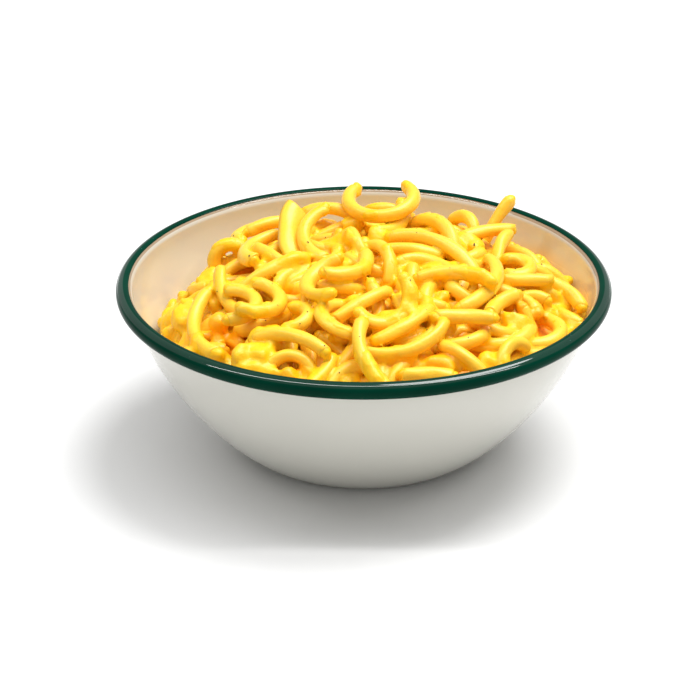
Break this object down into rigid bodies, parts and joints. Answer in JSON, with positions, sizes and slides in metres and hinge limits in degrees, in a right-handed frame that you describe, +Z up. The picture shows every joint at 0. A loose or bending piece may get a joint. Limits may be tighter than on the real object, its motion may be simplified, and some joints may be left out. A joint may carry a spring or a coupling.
{
  "type": "mac and cheese",
  "caption": "Round enamelled steel bowl with a rolled edge, filled and heaped with elbow macaroni in cheese sauce.",
  "frame": {"origin": "middle of the bowl's foot ring, on the table it stands on", "axes": "+Z up, out of the bowl's mouth; -Y towards the viewer and +X to the viewer's right"},
  "size_m": [0.16, 0.16, 0.0774],
  "materials": {
    "cream_enamel": "glossy cream enamel on steel",
    "green_enamel": "glossy dark green enamel on the rolled edge",
    "cheesy_pasta": "moist yellow cheese sauce over soft pasta"
  },
  "bodies": {
    "root": {"bowl": "cream_enamel", "macaroni": "cheesy_pasta"}
  },
  "joints": []
}
